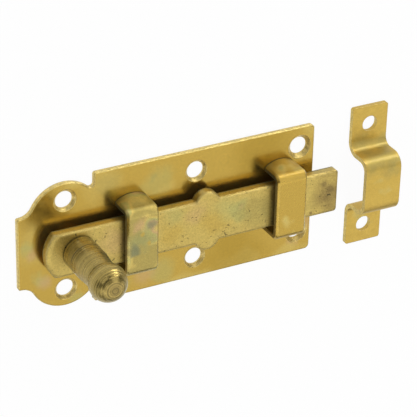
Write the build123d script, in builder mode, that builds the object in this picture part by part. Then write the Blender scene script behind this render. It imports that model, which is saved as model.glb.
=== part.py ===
"""Flat sliding bolt with a turned knob, two strap guides and a separate keeper.

+X runs along the bolt towards its nose, +Y across the plate and +Z out of the plate's front.
The origin is the centre of the plate's back face. All sizes are in millimetres.
"""
from build123d import *
import math
import os

# Back plate: a stamped sheet whose rear end is a tab between two round lobes
plate_length = 100.0
plate_width = 44.2
plate_thickness = 1.5
shoulder_inset = 24.8  # from the rear end to the step where the full width begins
tab_width = 24.2
tab_land = 0.9  # straight part of the tab's edge before the cove
tab_corner = 0.7
lobe_radius = 11.6
lobe_drop = 1.2  # how far a lobe's crest lies inside the full width
notch_radius = 1.05
shoulder_corner = 0.8
front_corner = 1.5
die_roll = 0.3  # broken edge that the stamping leaves on the front

# Screw holes in the plate, in pairs across it
rear_hole_inset = 15.3  # from the rear end
middle_hole_inset = 41.2  # from the front end
front_hole_inset = 5.15  # from the front end
hole_edge_distance = 7.0  # from the plate's long edge
hole_diameter = 5.6
countersink_diameter = 7.3
front_hole_edge_distance = 7.1
front_pair_offset = 0.4  # the front pair is punched off the plate's middle
front_countersink_diameter = 8.0
countersink_angle = 90.0

# Bolt bar: a flat bar, round about the knob at its rear end
bar_width = 14.5
bar_thickness = 3.0
bar_lift = 2.4  # clear height between the plate and the bar
bar_end_radius = 10.7
bar_end_bevel = 1.3
bar_end_bevel_depth = 0.6
bar_edge = 0.3  # broken edge along the rest of the bar's front
nose_reach = 6.1  # how far the nose stands out of the plate at rest
nose_corner = 1.0
ear_radius = 4.2
ear_catch = 0.45  # how far the stop ears overlap the guides

# Travel of the bolt from its rest place, and the room left at each stop
extend_travel = 8.5
retract_travel = 16.0
stop_clearance = 0.3

# Guides: bent strips with tenons peened into the plate
guide_width = 10.4
guide_thickness = 1.8
guide_bend = 0.9  # inside radius
guide_side_play = 2.35
guide_front_play = 1.5
guide_spacing = 51.0
front_guide_inset = 6.9  # from the front end to the front guide
tenon_width = 6.4
tenon_fit = 0.05
foot_swell = 1.5  # the feet bulge outwards where peening upsets them
guide_edge = 0.6  # broken outer edge of the strip

# Knob: turned in one piece with the shank that is riveted through the bar
knob_diameter = 10.8
knob_height = 24.6
knob_base_edge = 0.3
barrel_height = 9.0
neck_diameter = 9.5
ball_diameter = 11.7
tip_diameter = 4.8
shank_diameter = 6.0
shank_fit = 0.05
rivet_diameter = 9.5
rivet_bevel = 0.5
rivet_clearance = 0.3  # between the rivet head and the plate

# Keeper: a strip folded into a loop for the nose, on the same wall as the plate
keeper_gap = 13.7  # from the plate's front end
keeper_width = 12.75
keeper_length = 48.5
keeper_thickness = 1.5
keeper_bend = 2.75  # inside radius
keeper_side_play = 1.2
keeper_front_play = 3.1
keeper_hole_spacing = 36.1
keeper_hole_diameter = 5.2
keeper_corner = 0.8

same_place = 1e-3  # corners closer than this lie at the same place

# Places along the bolt
rear_end = -plate_length / 2
front_end = plate_length / 2
shoulder_x = rear_end + shoulder_inset
rear_hole_x = rear_end + rear_hole_inset
middle_hole_x = front_end - middle_hole_inset
front_hole_x = front_end - front_hole_inset
front_guide_x = front_end - front_guide_inset - guide_width / 2
rear_guide_x = front_guide_x - guide_spacing
knob_x = rear_guide_x - guide_width / 2 - stop_clearance - extend_travel - knob_diameter / 2
nose_x = front_end + nose_reach
keeper_x = front_end + keeper_gap + keeper_width / 2

# Heights above the plate's back
bar_back = plate_thickness + bar_lift
bar_front = bar_back + bar_thickness
guide_inner_height = bar_front + guide_front_play
guide_top = guide_inner_height + guide_thickness
guide_outer_bend = guide_bend + guide_thickness
guide_knee = guide_top - guide_outer_bend  # where the legs run into the bends
keeper_inner_height = bar_front + keeper_front_play
keeper_top = keeper_inner_height + keeper_thickness

# Half widths across the bolt
guide_inner_y = bar_width / 2 + guide_side_play
guide_outer_y = guide_inner_y + guide_thickness
guide_leg_y = guide_inner_y + guide_thickness / 2
ear_crest_y = guide_inner_y + ear_catch
foot_half_chord = guide_width / 2 - guide_edge
keeper_inner_y = bar_width / 2 + keeper_side_play
keeper_outer_y = keeper_inner_y + keeper_thickness
hole_y = plate_width / 2 - hole_edge_distance
front_hole_y = plate_width / 2 - front_hole_edge_distance
lobe_y = plate_width / 2 - lobe_drop - lobe_radius

# The ears meet the rear guide part way up their round flank
ear_half_chord = math.sqrt(ear_radius**2 - (ear_radius - ear_catch) ** 2)
ear_x = rear_guide_x + guide_width / 2 + stop_clearance + retract_travel + ear_half_chord

# The cove is the arc that touches the lobe and meets the tab's edge at the end of its land
cove_run = rear_hole_inset - tab_land
cove_rise = tab_width / 2 - lobe_y
cove_radius = (cove_run**2 + cove_rise**2 - lobe_radius**2) / (2 * (lobe_radius - cove_rise))
cove_x = rear_hole_x - math.sqrt(lobe_radius**2 - cove_rise**2)

# The notch lies where a lobe runs into the shoulder
notch_y = lobe_y + math.sqrt(lobe_radius**2 - (shoulder_x - rear_hole_x) ** 2)


def both_sides(x, y, z=0.0):
    """Two places mirrored across the bolt's middle plane."""
    return [(x, y, z), (x, -y, z)]


def corner_pair(sketch, x, y):
    """The two corners of an outline at x, and at y on either side of the middle plane."""
    return [
        corner
        for corner in sketch.vertices()
        if abs(corner.X - x) < same_place and abs(abs(corner.Y) - y) < same_place
    ]


# Back plate
with BuildPart() as back_plate:
    with BuildSketch() as plate_outline:
        with Locations((shoulder_x, 0)):
            Rectangle(front_end - shoulder_x, plate_width, align=(Align.MIN, Align.CENTER))
        with Locations((rear_end, 0)):
            Rectangle(shoulder_inset, tab_width, align=(Align.MIN, Align.CENTER))
        with Locations(*both_sides(rear_hole_x, lobe_y)):
            Circle(lobe_radius)
        fillet(corner_pair(plate_outline, cove_x, tab_width / 2), cove_radius)
        fillet(corner_pair(plate_outline, rear_end, tab_width / 2), tab_corner)
        fillet(corner_pair(plate_outline, shoulder_x, notch_y), notch_radius)
        fillet(corner_pair(plate_outline, shoulder_x, plate_width / 2), shoulder_corner)
        fillet(corner_pair(plate_outline, front_end, plate_width / 2), front_corner)
    extrude(amount=plate_thickness)
    chamfer(back_plate.faces().sort_by(Axis.Z)[-1].edges(), die_roll)
    with Locations(
        *both_sides(rear_hole_x, hole_y, plate_thickness),
        *both_sides(middle_hole_x, hole_y, plate_thickness),
    ):
        CounterSinkHole(
            hole_diameter / 2, countersink_diameter / 2, counter_sink_angle=countersink_angle
        )
    with Locations(
        (front_hole_x, front_pair_offset + front_hole_y, plate_thickness),
        (front_hole_x, front_pair_offset - front_hole_y, plate_thickness),
    ):
        CounterSinkHole(
            hole_diameter / 2, front_countersink_diameter / 2, counter_sink_angle=countersink_angle
        )
    with BuildSketch():
        with Locations(*both_sides(rear_guide_x, guide_leg_y), *both_sides(front_guide_x, guide_leg_y)):
            Rectangle(tenon_width + 2 * tenon_fit, guide_thickness + 2 * tenon_fit)
    extrude(amount=plate_thickness, mode=Mode.SUBTRACT)


def make_guide(center_x):
    """A strip bent into a square arch, standing on the plate with a tenon under each leg."""
    with BuildPart() as guide:
        with BuildSketch(Plane.YZ.offset(center_x - guide_width / 2)) as arch:
            with Locations((0, plate_thickness)):
                Rectangle(2 * guide_outer_y, guide_top - plate_thickness, align=(Align.CENTER, Align.MIN))
            fillet(arch.vertices().group_by(Axis.Y)[-1], guide_outer_bend)
            with BuildSketch(mode=Mode.SUBTRACT) as passage:
                with Locations((0, plate_thickness)):
                    Rectangle(
                        2 * guide_inner_y,
                        guide_inner_height - plate_thickness,
                        align=(Align.CENTER, Align.MIN),
                    )
                fillet(passage.vertices().group_by(Axis.Y)[-1], guide_bend)
        extrude(amount=guide_width)
        outer_edges = [
            edge
            for edge in guide.faces().filter_by(Axis.X).edges()
            if edge.center().Z > plate_thickness + same_place
            and (
                abs(edge.center().Y) > guide_inner_y + same_place
                or edge.center().Z > guide_inner_height + same_place
            )
        ]
        chamfer(outer_edges, guide_edge)
        with BuildSketch(Plane.XY.offset(plate_thickness)):
            with Locations((center_x, guide_inner_y)):
                Rectangle(2 * foot_half_chord, guide_thickness, align=(Align.CENTER, Align.MIN))
            with BuildLine():
                SagittaArc(
                    (center_x + foot_half_chord, guide_outer_y),
                    (center_x - foot_half_chord, guide_outer_y),
                    -foot_swell,
                )
                Line(
                    (center_x - foot_half_chord, guide_outer_y),
                    (center_x + foot_half_chord, guide_outer_y),
                )
            make_face()
        with BuildSketch(Plane.XY.offset(guide_knee)):
            with Locations((center_x, guide_inner_y)):
                Rectangle(2 * foot_half_chord, guide_thickness, align=(Align.CENTER, Align.MIN))
        loft(ruled=True)
        mirror(about=Plane.XZ)
        with BuildSketch():
            with Locations(*both_sides(center_x, guide_leg_y)):
                Rectangle(tenon_width, guide_thickness)
        extrude(amount=plate_thickness)
    return guide


rear_guide = make_guide(rear_guide_x)
front_guide = make_guide(front_guide_x)

# Bolt bar
with BuildPart() as bolt_bar:
    with BuildSketch(Plane.XY.offset(bar_back)) as bar_outline:
        with Locations((knob_x, 0)):
            Circle(bar_end_radius)
            Rectangle(2 * bar_end_radius, bar_width, mode=Mode.INTERSECT)
            Rectangle(nose_x - knob_x, bar_width, align=(Align.MIN, Align.CENTER))
        with Locations(*both_sides(ear_x, ear_crest_y - ear_radius)):
            Circle(ear_radius)
        fillet(bar_outline.vertices().group_by(Axis.X)[-1], nose_corner)
    extrude(amount=bar_thickness)
    front_rim = bolt_bar.faces().sort_by(Axis.Z)[-1].edges().sort_by(Axis.X)
    chamfer(front_rim[1:], bar_edge)
    front_rim = bolt_bar.faces().sort_by(Axis.Z)[-1].edges().sort_by(Axis.X)
    chamfer(front_rim[0], bar_end_bevel, bar_end_bevel_depth)
    with Locations((knob_x, 0, bar_front)):
        Hole(shank_diameter / 2 + shank_fit)

# Knob
ball_radius = ball_diameter / 2
neck_radius = neck_diameter / 2
barrel_radius = knob_diameter / 2
tip_z = bar_front + knob_height
ball_z = tip_z - math.sqrt(ball_radius**2 - (tip_diameter / 2) ** 2)
neck_z = ball_z - math.sqrt(ball_radius**2 - neck_radius**2)
rivet_z = plate_thickness + rivet_clearance

with BuildPart() as knob:
    with BuildSketch(Plane.XZ.shift_origin((knob_x, 0, 0))):
        with BuildLine():
            Polyline(
                (rivet_diameter / 2, rivet_z + rivet_bevel),
                (rivet_diameter / 2, bar_back),
                (shank_diameter / 2, bar_back),
                (shank_diameter / 2, bar_front),
                (barrel_radius - knob_base_edge, bar_front),
                (barrel_radius, bar_front + knob_base_edge),
                (barrel_radius, bar_front + barrel_height),
                (neck_radius, neck_z),
            )
            ThreePointArc((neck_radius, neck_z), (ball_radius, ball_z), (tip_diameter / 2, tip_z))
            Polyline(
                (tip_diameter / 2, tip_z),
                (0, tip_z),
                (0, rivet_z),
                (rivet_diameter / 2 - rivet_bevel, rivet_z),
                (rivet_diameter / 2, rivet_z + rivet_bevel),
            )
        make_face()
    revolve(axis=Axis((knob_x, 0, 0), (0, 0, 1)))

# Keeper
keeper_end_y = keeper_length / 2
tight = keeper_bend
wide = keeper_bend + keeper_thickness

with BuildPart() as keeper:
    with BuildSketch(Plane.YZ.offset(keeper_x - keeper_width / 2)):
        with BuildLine():
            front_line = FilletPolyline(
                (-keeper_end_y, keeper_thickness),
                (-keeper_outer_y, keeper_thickness),
                (-keeper_outer_y, keeper_top),
                (keeper_outer_y, keeper_top),
                (keeper_outer_y, keeper_thickness),
                (keeper_end_y, keeper_thickness),
                radius=[tight, wide, wide, tight],
            )
            back_line = FilletPolyline(
                (-keeper_end_y, 0),
                (-keeper_inner_y, 0),
                (-keeper_inner_y, keeper_inner_height),
                (keeper_inner_y, keeper_inner_height),
                (keeper_inner_y, 0),
                (keeper_end_y, 0),
                radius=[wide, tight, tight, wide],
            )
            Line(front_line @ 0, back_line @ 0)
            Line(front_line @ 1, back_line @ 1)
        make_face()
    extrude(amount=keeper_width)
    upright_edges = keeper.edges().filter_by(Axis.Z).group_by(Axis.Y)
    fillet(upright_edges[0] + upright_edges[-1], keeper_corner)
    with Locations(*both_sides(keeper_x, keeper_hole_spacing / 2, keeper_thickness)):
        Hole(keeper_hole_diameter / 2, depth=keeper_thickness)

os.makedirs("parts", exist_ok=True)
nodes = {
    "back_plate": back_plate,
    "rear_guide": rear_guide,
    "front_guide": front_guide,
    "bolt_bar": bolt_bar,
    "knob": knob,
    "keeper": keeper,
}
for name, node in nodes.items():
    node.part.label = name
    export_step(node.part, f"parts/{name}.step")
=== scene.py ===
"""Looks of a flat sliding bolt in yellow chromated zinc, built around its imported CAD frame.

+X runs along the bolt towards its nose, +Y across the plate, +Z out of the plate's front. Metres.
"""
import math

import bmesh
import bpy
from mathutils import Matrix, Vector


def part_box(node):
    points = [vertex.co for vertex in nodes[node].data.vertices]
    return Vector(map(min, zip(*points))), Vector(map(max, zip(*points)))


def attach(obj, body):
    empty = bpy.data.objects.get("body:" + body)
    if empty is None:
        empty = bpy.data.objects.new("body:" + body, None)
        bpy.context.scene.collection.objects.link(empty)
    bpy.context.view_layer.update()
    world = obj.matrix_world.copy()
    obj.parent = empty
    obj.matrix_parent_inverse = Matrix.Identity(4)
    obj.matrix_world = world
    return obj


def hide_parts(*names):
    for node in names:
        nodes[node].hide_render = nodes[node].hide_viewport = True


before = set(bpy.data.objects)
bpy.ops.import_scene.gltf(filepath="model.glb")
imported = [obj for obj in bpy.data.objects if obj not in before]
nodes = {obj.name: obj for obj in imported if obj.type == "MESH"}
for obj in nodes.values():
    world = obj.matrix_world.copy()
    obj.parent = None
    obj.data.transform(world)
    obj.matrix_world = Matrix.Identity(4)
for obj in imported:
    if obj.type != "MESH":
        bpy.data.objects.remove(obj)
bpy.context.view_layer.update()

MM = 0.001

# Camera, fitted to the picture's frame: place, point it looks at, and the picture's up direction
CAMERA_PLACE = Vector((-248.1, 306.45, 483.6)) * MM
CAMERA_TARGET = Vector((14.1, 0.08, 0.0)) * MM
PICTURE_UP = Vector((-0.0253, 1.0, 0.0))
LENS_MM = 176.8
SENSOR_MM = 36.0
CLIP_START = 0.01
CLIP_END = 20.0

# Studio
WORLD_LEVEL = 0.09
WHITE = (1.0, 1.0, 1.0, 1.0)
FLOOR_DROP = 0.05 * MM
FLOOR_HALF = 3.0
FLOOR_COLOUR = (0.93, 0.93, 0.93, 1.0)
FLOOR_ROUGHNESS = 0.9
FLOOR_SHOWN_WHITE = 0.95  # share of the floor's look that is plain white, the rest is lit and shaded

# Softboxes: name, direction from the part, width, height, radiance
LAMP_DISTANCE = 0.9
SOFTBOXES = (
    ("front_softbox", (0.18, -0.68, 0.71), 1.5, 0.75, 0.98),
    ("left_softbox", (-0.7, -0.42, 0.57), 0.55, 0.6, 1.4),
    ("right_softbox", (0.85, -0.25, 0.45), 0.5, 0.5, 0.9),
    ("top_softbox", (0.0, -0.07, 1.0), 1.1, 0.5, 1.3),
    ("over_softbox", (0.35, 0.55, 0.76), 0.7, 0.6, 1.5),
    ("key_softbox", (0.6, 0.78, 0.16), 0.38, 0.22, 8.0),
    ("back_softbox", (0.3, 0.93, 0.15), 1.3, 0.25, 1.3),
    ("rear_softbox", (-0.6, 0.68, 0.42), 0.8, 0.5, 0.8),
)

# Colours of the plating, linear
GOLD = (0.49, 0.325, 0.057, 1.0)
DEEP_GOLD = (0.40, 0.255, 0.032, 1.0)
PALE_GOLD = (0.57, 0.43, 0.115, 1.0)
KEEPER_GOLD = (0.58, 0.395, 0.078, 1.0)
BAR_GOLD = (0.54, 0.40, 0.105, 1.0)
OLIVE_GOLD = (0.40, 0.31, 0.085, 1.0)
KNOB_OLIVE = (0.35, 0.258, 0.070, 1.0)
GREEN = (0.42, 0.385, 0.125, 1.0)
DARK_GREEN = (0.33, 0.305, 0.108, 1.0)
BLUE_GREEN = (0.165, 0.185, 0.105, 1.0)
ROSE = (0.52, 0.345, 0.150, 1.0)
BROWN = (0.20, 0.135, 0.045, 1.0)
# Pale metal on the corners: partly wear, partly a painted edge highlight.
BARE_AND_HIGHLIGHT = (0.74, 0.62, 0.33, 1.0)
CUT = (0.70, 0.54, 0.19, 1.0)
# The bar's cut colour is near black: partly its torn shear zone, partly painted shade from the gap under
# the bar.
BAR_CUT_AND_SHADE = (0.08, 0.062, 0.028, 1.0)
# The guides' cut colour is dark brown: partly the cut metal, partly painted shade on their side faces.
STRAP_CUT_AND_SHADE = (0.17, 0.13, 0.06, 1.0)
# This near-black colours the pits, and also the dark lines of painted shade.
PIT_AND_SHADE = (0.05, 0.04, 0.015, 1.0)

# Film: up to FILM_START the plating has its base colour, then it runs through these colours
FILM_START = 0.46
FILM_BANDS = ((0.53, PALE_GOLD), (0.60, GREEN), (0.66, ROSE), (0.75, PALE_GOLD))

# Grain, and the noise levels between which grain, turning lines and shine go from low to high
FINE_SIZE = 0.28 * MM
COARSE_SIZE = 0.8 * MM
FINE_SHARE = 0.6
NOISE_RANGE = (0.3, 0.7)
SHINE_SIZE = 3 * MM
SHINE_SPREAD = 0.05  # roughness to either side of its mean
BUMP_DISTANCE = 0.1 * MM

# Pits, gathered in zones
PIT_SIZE = 0.75 * MM
PIT_RANGE = (0.635, 0.70)
PIT_ZONE_SIZE = 6 * MM
PIT_ZONE_RANGE = (0.40, 0.62)
PIT_DEPTH = 1.5  # against the height of the grain

# Patches: how lumpy they are and where they fade out, as shares of their radius
PATCH_LUMPS = 1.6
PATCH_PUSH = 2.0
PATCH_FADE = (1.25, 0.25)

# Places of the noises, so that no pattern follows another one
FINE_SHIFT = 1.7
COARSE_SHIFT = 2.9
SHINE_SHIFT = 4.4
STAIN_SHIFT = 7.7
STAIN_STEP = 0.9
PIT_SHIFT = 9.2
PIT_ZONE_SHIFT = 12.5
SHIFT_DIRECTION = Vector((1.0, 0.37, 0.71))

# Worn corners, partly a painted edge highlight: told by how far the rounded edge turns from the face, and
# patchy along the edge
BEVEL_SAMPLES = 6
WORN_AND_HIGHLIGHT_RANGE = (0.97, 0.75)
WORN_AND_HIGHLIGHT_PATCHES = (0.35, 0.6, 0.2, 0.6)

# Cut edges: told by their direction, across a sheet's front, along a strip's width, or below the rolled
# front edges of a sheared bar, whose back is plated. The dark cut colour of the guides and the bar is
# partly painted shade; on the bar it covers the lower half of the sides, which face the shaded gap under
# it.
CUT_AXIS = {"sheet": "Z", "strip": "X"}
CUT_RANGE = {"sheet": (0.85, 0.75), "strip": (0.85, 0.95), "rolled": (-0.15, -0.5)}
BAR_BACK_RANGE = (-0.99, -0.9)
CUT_SHARE = 0.92
CUT_ROUGHNESS = 0.45
TORN_SHADES = (0.35, 0.65, 0.82, 1.2)
LEG_RANGE = (0.1, 0.8)
LEG_ROUGHNESS = 0.5  # of a strip where it turns away from the front

# Clear film over the metal, and a thin dull one that greys the deepest shade
COAT_ROUGHNESS = 0.15
HAZE = 0.12
HAZE_TINT = (0.8, 1.0, 0.5, 1.0)

# Dark lines of painted shade at one height, in creases and grooves: the share of their width that is
# darkest, and how dark it is
DARK_RING_CORE = 0.4
DARK_RING_STRENGTH = 0.85
FOOT_SHADE_LINE = 0.4 * MM  # half width of the painted shade where a guide's foot meets the plate

# Knob: the outline of the solid, with the marks that the turning tool left
KNOB_BARREL_RADIUS = 5.4 * MM
KNOB_BARREL_HEIGHT = 9.0 * MM
KNOB_BASE_EDGE = 0.3 * MM
KNOB_NECK_RADIUS = 4.75 * MM
KNOB_TIP_RADIUS = 2.4 * MM
KNOB_CROWN_RADIUS = 4.2 * MM  # where the ball starts to run over into the tip
KNOB_TIP_BLEND = 0.22 * MM
KNOB_SHANK_RADIUS = 3.0 * MM
KNOB_RIVET_RADIUS = 4.75 * MM
KNOB_RIVET_BEVEL = 0.5 * MM
KNOB_SEGMENTS = 128
KNOB_SHARP_ANGLE = math.radians(40)
BALL_GROOVE_PITCH = 0.72 * MM
BALL_GROOVE_DEPTH = 0.08 * MM
BARREL_GROOVE_PITCH = 0.42 * MM
BARREL_GROOVE_DEPTH = 0.040 * MM
SAMPLES_PER_GROOVE = 7
GROOVE_MEAN = 0.65
GROOVE_SPREAD = 0.35
GROOVE_STEP = 2.4  # radians from turn to turn, which keeps the depths uneven
RING_HEIGHT = 5.6 * MM
RING_WIDTH = 0.3 * MM
RING_DEPTH = 0.05 * MM
RING_SHADE_LINE = 0.25 * MM  # half width of the painted shade line in the scribed ring's groove
BASE_SHADE_LINE = 0.6 * MM  # half width of the painted shade line in the crevice round the barrel's base
TURNING_LINE_SIZE = 0.55 * MM
BURR_ANGLE = math.radians(-142.6)
BURR_SIZE = 0.45 * MM
BURR_HEIGHT = 0.35 * MM

# Stains: colour, x and y in millimetres, radius in millimetres, strength
PLATE_STAINS = (
    (PALE_GOLD, -43.0, 4.0, 9.0, 0.55),
    (PALE_GOLD, -23.0, 19.0, 7.0, 0.55),
    (GREEN, -47.0, 1.6, 2.8, 0.7),
    (ROSE, -45.3, -1.0, 2.4, 0.65),
    (GREEN, -43.8, -9.6, 2.8, 0.65),
    (ROSE, -41.4, -11.0, 3.0, 0.65),
    (GREEN, -31.5, -19.0, 3.2, 0.55),
    (OLIVE_GOLD, -21.0, 17.5, 4.5, 0.45),
    (GREEN, -3.5, 14.5, 5.5, 0.45),
    (DARK_GREEN, -6.0, 16.5, 1.6, 0.35),
    (ROSE, -8.0, -16.5, 5.0, 0.55),
    (GREEN, -2.0, -17.5, 5.0, 0.5),
    (GREEN, -17.0, -18.5, 4.0, 0.45),
    (DEEP_GOLD, 22.0, -17.0, 12.0, 0.8),
    (DEEP_GOLD, 33.0, 18.0, 12.0, 0.8),
    (ROSE, 43.5, -18.0, 2.6, 0.55),
    (ROSE, 48.5, -12.0, 2.6, 0.5),
)
REAR_GUIDE_STAINS = (
    (DARK_GREEN, -14.2, 1.4, 4.2, 0.9),
    (ROSE, -14.4, 6.2, 2.6, 0.8),
    (GOLD, -13.4, 2.9, 0.8, 0.8),
    (GOLD, -11.3, -0.4, 0.8, 0.8),
    (BLUE_GREEN, -15.8, -1.9, 2.2, 0.75),
    (BLUE_GREEN, -10.4, 5.6, 2.0, 0.65),
)
BAR_STAINS = (
    (GREEN, -1.0, 5.0, 4.0, 0.5),
    (ROSE, 6.5, 3.4, 4.2, 0.45),
    (GREEN, 17.0, 4.0, 6.0, 0.5),
    (GOLD, 12.0, -1.5, 5.0, 0.5),
    (GOLD, -2.6, -2.0, 3.8, 0.5),
    (ROSE, -22.0, 1.0, 5.0, 0.45),
    (OLIVE_GOLD, 27.0, 0.0, 8.0, 0.8),
    (BROWN, 52.0, 0.0, 7.0, 0.7),
    (BROWN, 51.2, 3.2, 1.5, 0.7),
    (BROWN, 53.2, 1.0, 1.8, 0.7),
    (BROWN, 52.4, -1.6, 1.4, 0.5),
    (BROWN, 46.8, -6.0, 0.8, 0.8),
)
KEEPER_STAINS = (
    (OLIVE_GOLD, 67.0, 9.5, 5.0, 0.85),
    (OLIVE_GOLD, 73.0, 9.5, 5.0, 0.85),
    (OLIVE_GOLD, 72.0, 5.0, 3.0, 0.5),
)

# Sockets of the mix node for numbers and for colours: first input, second input, output
MIX_NUMBERS = (2, 3, 0)
MIX_COLOURS = (6, 7, 2)


class Graph:
    """A material's node tree, with short names for the nodes that are used here."""

    def __init__(self, name):
        self.material = bpy.data.materials.new(name)
        self.material.use_nodes = True
        self.tree = self.material.node_tree
        self.shader = self.tree.nodes["Principled BSDF"]
        self.place = self.add("ShaderNodeTexCoord").outputs["Object"]

    def add(self, kind, **settings):
        node = self.tree.nodes.new(kind)
        for key, value in settings.items():
            setattr(node, key, value)
        return node

    def put(self, socket, value):
        """Links a socket to an output, or sets it to a plain value."""
        if isinstance(value, bpy.types.NodeSocket):
            self.tree.links.new(value, socket)
        else:
            socket.default_value = value

    def math(self, operation, first, second=0.0, clamp=False):
        node = self.add("ShaderNodeMath", operation=operation, use_clamp=clamp)
        self.put(node.inputs[0], first)
        self.put(node.inputs[1], second)
        return node.outputs[0]

    def vector(self, operation, first, second=(0.0, 0.0, 0.0), output="Vector"):
        node = self.add("ShaderNodeVectorMath", operation=operation)
        self.put(node.inputs[0], first)
        self.put(node.inputs[1], second)
        return node.outputs[output]

    def parts(self, vector):
        """The X, Y and Z of a vector, by name."""
        node = self.add("ShaderNodeSeparateXYZ")
        self.put(node.inputs[0], vector)
        return node.outputs

    def ramp(self, value, low, high, start=0.0, end=1.0):
        """A smooth step of value from start at low to end at high."""
        node = self.add("ShaderNodeMapRange", interpolation_type="SMOOTHSTEP")
        for key, setting in (("From Min", low), ("From Max", high), ("To Min", start), ("To Max", end)):
            node.inputs[key].default_value = setting
        self.put(node.inputs["Value"], value)
        return node.outputs["Result"]

    def colours(self, value, stops):
        """A run of colours over value, from (place, colour) stops."""
        node = self.add("ShaderNodeValToRGB")
        elements = node.color_ramp.elements
        while len(elements) < len(stops):
            elements.new(1.0)
        for element, (place, colour) in zip(elements, stops):
            element.position = place
            element.color = colour
        self.put(node.inputs["Fac"], value)
        return node.outputs["Color"]

    def mix(self, factor, first, second, blend="MIX"):
        """A mix of two colours."""
        node = self.add("ShaderNodeMix", data_type="RGBA", blend_type=blend)
        return self.mixed(node, MIX_COLOURS, factor, first, second)

    def blend(self, factor, first, second):
        """A mix of two numbers."""
        node = self.add("ShaderNodeMix", data_type="FLOAT")
        return self.mixed(node, MIX_NUMBERS, factor, first, second)

    def mixed(self, node, sockets, factor, first, second):
        first_socket, second_socket, output = sockets
        self.put(node.inputs["Factor"], factor)
        self.put(node.inputs[first_socket], first)
        self.put(node.inputs[second_socket], second)
        return node.outputs[output]

    def noise(self, size, detail=3.0, roughness=0.55, offset=0.0, output="Fac"):
        """Noise whose largest lumps are about size across."""
        moved = self.add("ShaderNodeMapping")
        self.put(moved.inputs["Vector"], self.place)
        moved.inputs["Location"].default_value = offset * SHIFT_DIRECTION
        node = self.add("ShaderNodeTexNoise")
        self.put(node.inputs["Vector"], moved.outputs["Vector"])
        node.inputs["Scale"].default_value = 1.0 / size
        node.inputs["Detail"].default_value = detail
        node.inputs["Roughness"].default_value = roughness
        return node.outputs[output]

    def patch(self, x, y, radius, offset):
        """A ragged round patch about a place on the front, 1 in its middle and 0 outside."""
        lumps = self.noise(PATCH_LUMPS * radius, offset=offset, output="Color")
        push = self.vector("SUBTRACT", lumps, (0.5, 0.5, 0.5))
        push = self.vector("MULTIPLY", push, (PATCH_PUSH * radius,) * 3)
        moved = self.vector("ADD", self.place, push)
        flat = self.vector("MULTIPLY", moved, (1.0, 1.0, 0.0))
        reach = self.vector("DISTANCE", flat, (x, y, 0.0), output="Value")
        outer, inner = PATCH_FADE
        return self.ramp(reach, outer * radius, inner * radius)


def film(g, base, size, level, offset):
    """The plating's colour, which runs through pale, green and rose where its film is thicker."""
    thickness = g.math("ADD", g.noise(size, detail=2.0, roughness=0.5, offset=offset), level)
    return g.colours(thickness, ((0.0, base), (FILM_START, base), *FILM_BANDS, (1.0, base)))


def stained(g, colour, stains, offset):
    """A colour with ragged patches over it."""
    for index, (stain, x, y, radius, strength) in enumerate(stains):
        patch = g.patch(x * MM, y * MM, radius * MM, offset + STAIN_STEP * index + STAIN_SHIFT)
        colour = g.mix(g.math("MULTIPLY", patch, strength), colour, stain)
    return colour


def pitting(g, amount, offset):
    """Small pits, 0 on the sound surface."""
    field = g.noise(PIT_SIZE, detail=1.5, roughness=0.6, offset=offset + PIT_SHIFT)
    zone = g.ramp(g.noise(PIT_ZONE_SIZE, offset=offset + PIT_ZONE_SHIFT), *PIT_ZONE_RANGE)
    pit = g.math("MULTIPLY", g.ramp(field, *PIT_RANGE), zone)
    return g.math("MULTIPLY", pit, amount)


def cut_edge(g, kind, straight, rounded):
    """1 where the metal was cut and 0 on its plated faces, told by the direction of the surface. On the
    bar it is the lower, downward-turned half of the sides, whose dark colour is partly painted shade.
    """
    if kind == "rolled":
        # lower half of the bar's sides, facing the shaded gap under it: torn zone and painted shade
        below_roll = g.ramp(g.parts(rounded)["Z"], *CUT_RANGE[kind])
        not_back = g.ramp(g.parts(straight)["Z"], *BAR_BACK_RANGE)
        return g.math("MULTIPLY", below_roll, not_back)
    along = g.math("ABSOLUTE", g.parts(straight)[CUT_AXIS[kind]])
    return g.ramp(along, *CUT_RANGE[kind])


def turning_lines(g, colour, strength, axis):
    """A colour with fine lines about an upright axis, up the sides and round the tip."""
    apart = g.vector("SUBTRACT", g.place, axis)
    level = g.vector("MULTIPLY", apart, (1.0, 1.0, 0.0))
    radius = g.vector("LENGTH", level, output="Value")
    lines = g.add("ShaderNodeTexNoise", noise_dimensions="1D")
    lines.inputs["Scale"].default_value = 1.0 / TURNING_LINE_SIZE
    lines.inputs["Detail"].default_value = 2.0
    lines.inputs["Roughness"].default_value = 0.7
    g.put(lines.inputs["W"], g.math("SUBTRACT", g.parts(apart)["Z"], radius))
    shade = g.ramp(lines.outputs["Fac"], *NOISE_RANGE, 1.0 - strength, 1.0 + strength)
    return g.mix(1.0, colour, shade, blend="MULTIPLY")


def ringed(g, colour, rings):
    """A colour with dark rings of painted shade, each a (height, half width)."""
    for z, half_width in rings:
        away = g.math("ABSOLUTE", g.math("SUBTRACT", g.parts(g.place)["Z"], z))
        dark = g.ramp(away, half_width, DARK_RING_CORE * half_width, 0.0, DARK_RING_STRENGTH)
        colour = g.mix(dark, colour, PIT_AND_SHADE)
    return colour


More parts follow.
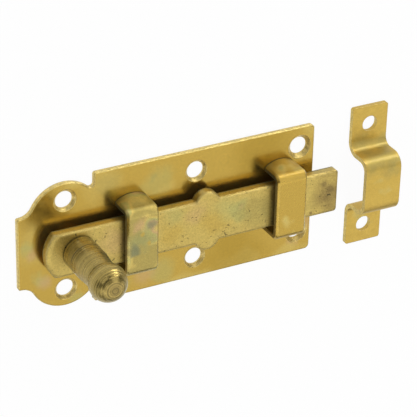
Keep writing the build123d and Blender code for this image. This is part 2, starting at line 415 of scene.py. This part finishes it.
def plated(
    name,
    offset,
    base=GOLD,
    film_size=9 * MM,
    film_level=0.0,
    grain=0.14,
    pits=0.0,
    roughness=0.28,
    bump=0.10,
    cut="sheet",
    cut_colour=CUT,
    edge_round=0.25 * MM,
    coat=0.15,
    metal=0.95,
    stains=(),
    ring_lines=0.0,
    ring_axis=(0.0, 0.0, 0.0),
    dark_rings=(),
):
    """Chromated zinc: gold with iridescent film, grain, pits, stains, rough cut edges that are partly
    painted shade on the bar and guides, pale corners that are partly wear and partly a painted edge
    highlight, and dark rings of painted shade.
    """
    g = Graph(name)
    colour = stained(g, film(g, base, film_size, film_level, offset), stains, offset)

    fine = g.noise(FINE_SIZE, roughness=0.65, offset=offset + FINE_SHIFT)
    coarse = g.noise(COARSE_SIZE, roughness=0.6, offset=offset + COARSE_SHIFT)
    fine_part = g.math("MULTIPLY", fine, FINE_SHARE)
    coarse_part = g.math("MULTIPLY", coarse, 1.0 - FINE_SHARE)
    grains = g.math("ADD", fine_part, coarse_part)
    shade = g.ramp(grains, *NOISE_RANGE, 1.0 - grain, 1.0 + grain)
    colour = g.mix(1.0, colour, shade, blend="MULTIPLY")

    pit = pitting(g, pits, offset)
    colour = g.mix(pit, colour, PIT_AND_SHADE)

    straight = g.add("ShaderNodeNewGeometry").outputs["True Normal"]
    bevel = g.add("ShaderNodeBevel", samples=BEVEL_SAMPLES)
    bevel.inputs["Radius"].default_value = edge_round
    rounded = bevel.outputs["Normal"]
    facing = g.vector("DOT_PRODUCT", rounded, straight, output="Value")
    # pale corners, partly wear and partly a painted edge highlight
    worn_and_highlight = g.math("MULTIPLY", g.ramp(facing, *WORN_AND_HIGHLIGHT_RANGE), g.ramp(coarse, *WORN_AND_HIGHLIGHT_PATCHES))
    colour = g.mix(worn_and_highlight, colour, BARE_AND_HIGHLIGHT)

    shine_noise = g.noise(SHINE_SIZE, offset=offset + SHINE_SHIFT)
    shine = g.ramp(shine_noise, *NOISE_RANGE, roughness - SHINE_SPREAD, roughness + SHINE_SPREAD)
    if cut:
        edge = cut_edge(g, cut, straight, rounded)
        # On the bar and the guides the cut colour is partly painted shade.
        torn_colour = g.mix(1.0, cut_colour, g.ramp(coarse, *TORN_SHADES), blend="MULTIPLY")
        colour = g.mix(g.math("MULTIPLY", edge, CUT_SHARE), colour, torn_colour)
        if cut == "strip":
            leg = g.ramp(g.math("ABSOLUTE", g.parts(straight)["Y"]), *LEG_RANGE)
            shine = g.blend(leg, shine, LEG_ROUGHNESS)
        shine = g.blend(edge, shine, CUT_ROUGHNESS)
    if ring_lines:
        colour = turning_lines(g, colour, ring_lines, ring_axis)
    colour = ringed(g, colour, dark_rings)

    bumps = g.add("ShaderNodeBump")
    bumps.inputs["Strength"].default_value = bump
    bumps.inputs["Distance"].default_value = BUMP_DISTANCE
    g.put(bumps.inputs["Height"], g.math("SUBTRACT", grains, g.math("MULTIPLY", pit, PIT_DEPTH)))
    g.put(bumps.inputs["Normal"], rounded)

    shader = g.shader
    g.put(shader.inputs["Base Color"], colour)
    g.put(shader.inputs["Roughness"], shine)
    g.put(shader.inputs["Normal"], bumps.outputs["Normal"])
    shader.inputs["Metallic"].default_value = metal
    shader.inputs["Coat Weight"].default_value = coat
    shader.inputs["Coat Roughness"].default_value = COAT_ROUGHNESS
    shader.inputs["Sheen Weight"].default_value = HAZE
    shader.inputs["Sheen Tint"].default_value = HAZE_TINT
    return g.material


def dress(node, material):
    """Gives a CAD node one material."""
    mesh = nodes[node].data
    mesh.materials.clear()
    mesh.materials.append(material)


def dress_plate():
    material = plated(
        "plate_plating",
        offset=0.3,
        film_size=24 * MM,
        film_level=-0.13,
        grain=0.08,
        roughness=0.21,
        bump=0.03,
        edge_round=0.5 * MM,
        stains=PLATE_STAINS,
    )
    dress("back_plate", material)


def dress_guides():
    """The rear guide is dull and stained, the front one clean. Both have a line of painted shade round
    their feet, where they meet the plate.
    """
    plate_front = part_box("back_plate")[1][2]
    # painted shade along the crease where each guide's foot meets the plate
    foot_shade = ((plate_front, FOOT_SHADE_LINE),)
    rear = plated(
        "rear_guide_plating",
        offset=1.9,
        base=OLIVE_GOLD,
        film_level=0.03,
        cut="strip",
        # dark cut edges, partly painted shade
        cut_colour=STRAP_CUT_AND_SHADE,
        edge_round=0.6 * MM,
        dark_rings=foot_shade,
        stains=REAR_GUIDE_STAINS,
    )
    dress("rear_guide", rear)
    front = plated(
        "front_guide_plating",
        offset=2.6,
        film_level=-0.10,
        grain=0.05,
        roughness=0.26,
        bump=0.03,
        cut="strip",
        # dark cut edges, partly painted shade
        cut_colour=STRAP_CUT_AND_SHADE,
        edge_round=0.6 * MM,
        dark_rings=foot_shade,
    )
    dress("front_guide", front)


def dress_bar():
    material = plated(
        "bar_plating",
        offset=4.2,
        base=BAR_GOLD,
        film_size=14 * MM,
        film_level=-0.12,
        grain=0.20,
        pits=0.95,
        roughness=0.42,
        bump=0.14,
        cut="rolled",
        # the near-black lower half of the sides is partly painted shade
        cut_colour=BAR_CUT_AND_SHADE,
        edge_round=1.4 * MM,
        stains=BAR_STAINS,
    )
    dress("bolt_bar", material)


def dress_keeper():
    material = plated(
        "keeper_plating",
        offset=5.3,
        base=KEEPER_GOLD,
        film_level=-0.14,
        grain=0.10,
        roughness=0.44,
        cut="strip",
        cut_colour=PALE_GOLD,
        stains=KEEPER_STAINS,
    )
    dress("keeper", material)


def groove(turn):
    """Depth of a turned groove, 0 on its crest and up to 1 in its valley, uneven from turn to turn."""
    uneven = GROOVE_MEAN + GROOVE_SPREAD * math.sin(GROOVE_STEP * math.floor(turn))
    return uneven * abs(math.sin(math.pi * turn))


def barrel_points(base_z, neck_z):
    """Barrel, then the taper down to the neck, with fine turning lines and one scribed ring."""
    points = []
    start_z = base_z + KNOB_BASE_EDGE
    barrel_top = base_z + KNOB_BARREL_HEIGHT
    count = round((neck_z - start_z) / BARREL_GROOVE_PITCH * SAMPLES_PER_GROOVE)
    for step in range(count):
        z = start_z + (neck_z - start_z) * step / count
        taper = max(0.0, (z - barrel_top) / (neck_z - barrel_top))
        radius = KNOB_BARREL_RADIUS + (KNOB_NECK_RADIUS - KNOB_BARREL_RADIUS) * taper
        radius -= BARREL_GROOVE_DEPTH * groove(step / SAMPLES_PER_GROOVE)
        off_ring = abs(z - base_z - RING_HEIGHT) / (RING_WIDTH / 2)
        radius -= RING_DEPTH * max(0.0, 1.0 - off_ring)
        points.append((radius, z))
    return points


def ball_points(ball, ball_z, neck_turn, arc, turns):
    """Ball from the neck to the crown, with deeper grooves."""
    points = []
    count = turns * SAMPLES_PER_GROOVE
    for step in range(count):
        angle = -neck_turn + arc * step / count
        radius = ball - BALL_GROOVE_DEPTH * groove(step / SAMPLES_PER_GROOVE)
        points.append((radius * math.cos(angle), ball_z + radius * math.sin(angle)))
    return points


def crown_points(ball, ball_z, tip_z, turns):
    """Crown, where the ball runs over into the flat tip, with rings round its middle."""
    points = []
    count = round(KNOB_CROWN_RADIUS / BALL_GROOVE_PITCH) * SAMPLES_PER_GROOVE
    for step in range(count):
        radius = KNOB_CROWN_RADIUS * (1 - step / count)
        over = (ball_z + math.sqrt(ball**2 - radius**2) - tip_z) / KNOB_TIP_BLEND
        z = tip_z - KNOB_TIP_BLEND * math.log(1.0 + math.exp(-over))
        points.append((radius, z - BALL_GROOVE_DEPTH * groove(turns + step / SAMPLES_PER_GROOVE)))
    return points


def knob_outline(low, high, back_z, base_z):
    """Radius and height along the knob, from its rivet head to its tip, and the height of its ball."""
    rivet_z = low[2]
    tip_z = high[2]
    ball = (high[0] - low[0]) / 2
    ball_z = tip_z - math.sqrt(ball**2 - KNOB_TIP_RADIUS**2)
    neck_turn = math.acos(KNOB_NECK_RADIUS / ball)
    neck_z = ball_z - ball * math.sin(neck_turn)
    arc = neck_turn + math.acos(KNOB_CROWN_RADIUS / ball)
    turns = round(ball * arc / BALL_GROOVE_PITCH)
    points = [
        (KNOB_RIVET_RADIUS - KNOB_RIVET_BEVEL, rivet_z),
        (KNOB_RIVET_RADIUS, rivet_z + KNOB_RIVET_BEVEL),
        (KNOB_RIVET_RADIUS, back_z),
        (KNOB_SHANK_RADIUS, back_z),
        (KNOB_SHANK_RADIUS, base_z),
        (KNOB_BARREL_RADIUS - KNOB_BASE_EDGE, base_z),
    ]
    points += barrel_points(base_z, neck_z)
    points += ball_points(ball, ball_z, neck_turn, arc, turns)
    points += crown_points(ball, ball_z, tip_z, turns)
    return points, ball_z


def turned_mesh(name, outline, middle, burr_z):
    """A closed mesh turned from an outline, with a small burr at one height."""
    middle_x, middle_y = middle
    work = bmesh.new()
    rings = []
    for radius, z in outline:
        ring = []
        for segment in range(KNOB_SEGMENTS):
            angle = 2 * math.pi * segment / KNOB_SEGMENTS
            away = ((angle - BURR_ANGLE + math.pi) % (2 * math.pi) - math.pi) * radius
            reach = radius + BURR_HEIGHT * math.exp(-(away**2 + (z - burr_z) ** 2) / BURR_SIZE**2)
            x = middle_x + reach * math.cos(angle)
            y = middle_y + reach * math.sin(angle)
            ring.append(work.verts.new((x, y, z)))
        rings.append(ring)
    for lower, upper in zip(rings, rings[1:]):
        for i in range(KNOB_SEGMENTS):
            j = (i + 1) % KNOB_SEGMENTS
            work.faces.new((lower[i], lower[j], upper[j], upper[i]))
    for ring, z, order in ((rings[0], outline[0][1], -1), (rings[-1], outline[-1][1], 1)):
        centre = work.verts.new((middle_x, middle_y, z))
        for i in range(KNOB_SEGMENTS):
            corners = (ring[i], ring[(i + 1) % KNOB_SEGMENTS], centre)
            work.faces.new(corners[::order])
    for face in work.faces:
        face.smooth = True
    mesh = bpy.data.meshes.new(name)
    work.to_mesh(mesh)
    work.free()
    mesh.set_sharp_from_angle(angle=KNOB_SHARP_ANGLE)
    return mesh


def make_knob():
    """The knob as turned, with its grooves in the mesh."""
    low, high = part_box("knob")
    middle_x = (low[0] + high[0]) / 2
    middle_y = (low[1] + high[1]) / 2
    bar_low, bar_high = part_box("bolt_bar")
    base_z = bar_high[2]
    outline, ball_z = knob_outline(low, high, bar_low[2], base_z)
    mesh = turned_mesh("turned_knob", outline, (middle_x, middle_y), ball_z)
    material = plated(
        "knob_plating",
        offset=6.8,
        base=KNOB_OLIVE,
        film_level=-0.5,
        grain=0.16,
        roughness=0.30,
        bump=0.06,
        cut=None,
        coat=0.2,
        metal=0.9,
        stains=((BROWN, middle_x / MM, middle_y / MM, 3.0, 0.4),),
        ring_lines=0.35,
        ring_axis=(middle_x, middle_y, 0.0),
        # dark lines of painted shade in the crevice round the barrel's base and in the scribed ring
        dark_rings=((base_z, BASE_SHADE_LINE), (base_z + RING_HEIGHT, RING_SHADE_LINE)),
    )
    mesh.materials.append(material)
    knob = bpy.data.objects.new("turned_knob", mesh)
    bpy.context.scene.collection.objects.link(knob)
    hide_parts("knob")
    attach(knob, "bolt")


def floor_paper():
    """Pale paper that shows white to the camera and in mirrors, and is clear from below."""
    g = Graph("floor_paper")
    g.shader.inputs["Base Color"].default_value = FLOOR_COLOUR
    g.shader.inputs["Roughness"].default_value = FLOOR_ROUGHNESS
    rays = g.add("ShaderNodeLightPath").outputs
    seen = g.math("ADD", rays["Is Camera Ray"], rays["Is Glossy Ray"], clamp=True)
    seen = g.math("ADD", seen, rays["Is Transmission Ray"], clamp=True)
    lit = g.add("ShaderNodeMixShader")
    g.put(lit.inputs[0], g.math("MULTIPLY", seen, FLOOR_SHOWN_WHITE))
    g.put(lit.inputs[1], g.shader.outputs[0])
    g.put(lit.inputs[2], g.add("ShaderNodeEmission").outputs[0])
    sided = g.add("ShaderNodeMixShader")
    g.put(sided.inputs[0], g.add("ShaderNodeNewGeometry").outputs["Backfacing"])
    g.put(sided.inputs[1], lit.outputs[0])
    g.put(sided.inputs[2], g.add("ShaderNodeBsdfTransparent").outputs[0])
    g.put(g.tree.nodes["Material Output"].inputs["Surface"], sided.outputs[0])
    return g.material


def make_floor():
    """A plain floor just under the part."""
    mesh = bpy.data.meshes.new("floor")
    signs = ((-1, -1), (1, -1), (1, 1), (-1, 1))
    corners = [(x * FLOOR_HALF, y * FLOOR_HALF, -FLOOR_DROP) for x, y in signs]
    mesh.from_pydata(corners, [], [(0, 1, 2, 3)])
    mesh.materials.append(floor_paper())
    floor = bpy.data.objects.new("floor", mesh)
    bpy.context.scene.collection.objects.link(floor)


def softbox(name, direction, width, height, radiance):
    """A rectangular lamp that faces the part from the given direction, its width level."""
    lamp = bpy.data.lights.new(name, "AREA")
    lamp.shape = "RECTANGLE"
    lamp.size = width
    lamp.size_y = height
    lamp.energy = radiance * math.pi * width * height
    box = bpy.data.objects.new(name, lamp)
    bpy.context.scene.collection.objects.link(box)
    out = Vector(direction).normalized()
    box.location = CAMERA_TARGET + out * LAMP_DISTANCE
    box.rotation_euler = out.to_track_quat("Z", "Y").to_euler()


def make_studio():
    world = bpy.data.worlds.new("studio")
    bpy.context.scene.world = world
    world.use_nodes = True
    background = world.node_tree.nodes["Background"]
    background.inputs["Color"].default_value = WHITE
    background.inputs["Strength"].default_value = WORLD_LEVEL
    for lamp in SOFTBOXES:
        softbox(*lamp)


def make_camera():
    data = bpy.data.cameras.new("camera")
    data.lens = LENS_MM
    data.sensor_width = SENSOR_MM
    data.clip_start = CLIP_START
    data.clip_end = CLIP_END
    camera = bpy.data.objects.new("camera", data)
    bpy.context.scene.collection.objects.link(camera)
    back = (CAMERA_PLACE - CAMERA_TARGET).normalized()
    right = PICTURE_UP.cross(back).normalized()
    up = back.cross(right)
    turn = Matrix((right, up, back)).transposed().to_4x4()
    camera.matrix_world = Matrix.Translation(CAMERA_PLACE) @ turn
    bpy.context.scene.camera = camera


dress_plate()
dress_guides()
dress_bar()
dress_keeper()
make_knob()
make_floor()
make_studio()
make_camera()
bpy.context.scene.view_settings.view_transform = "Standard"
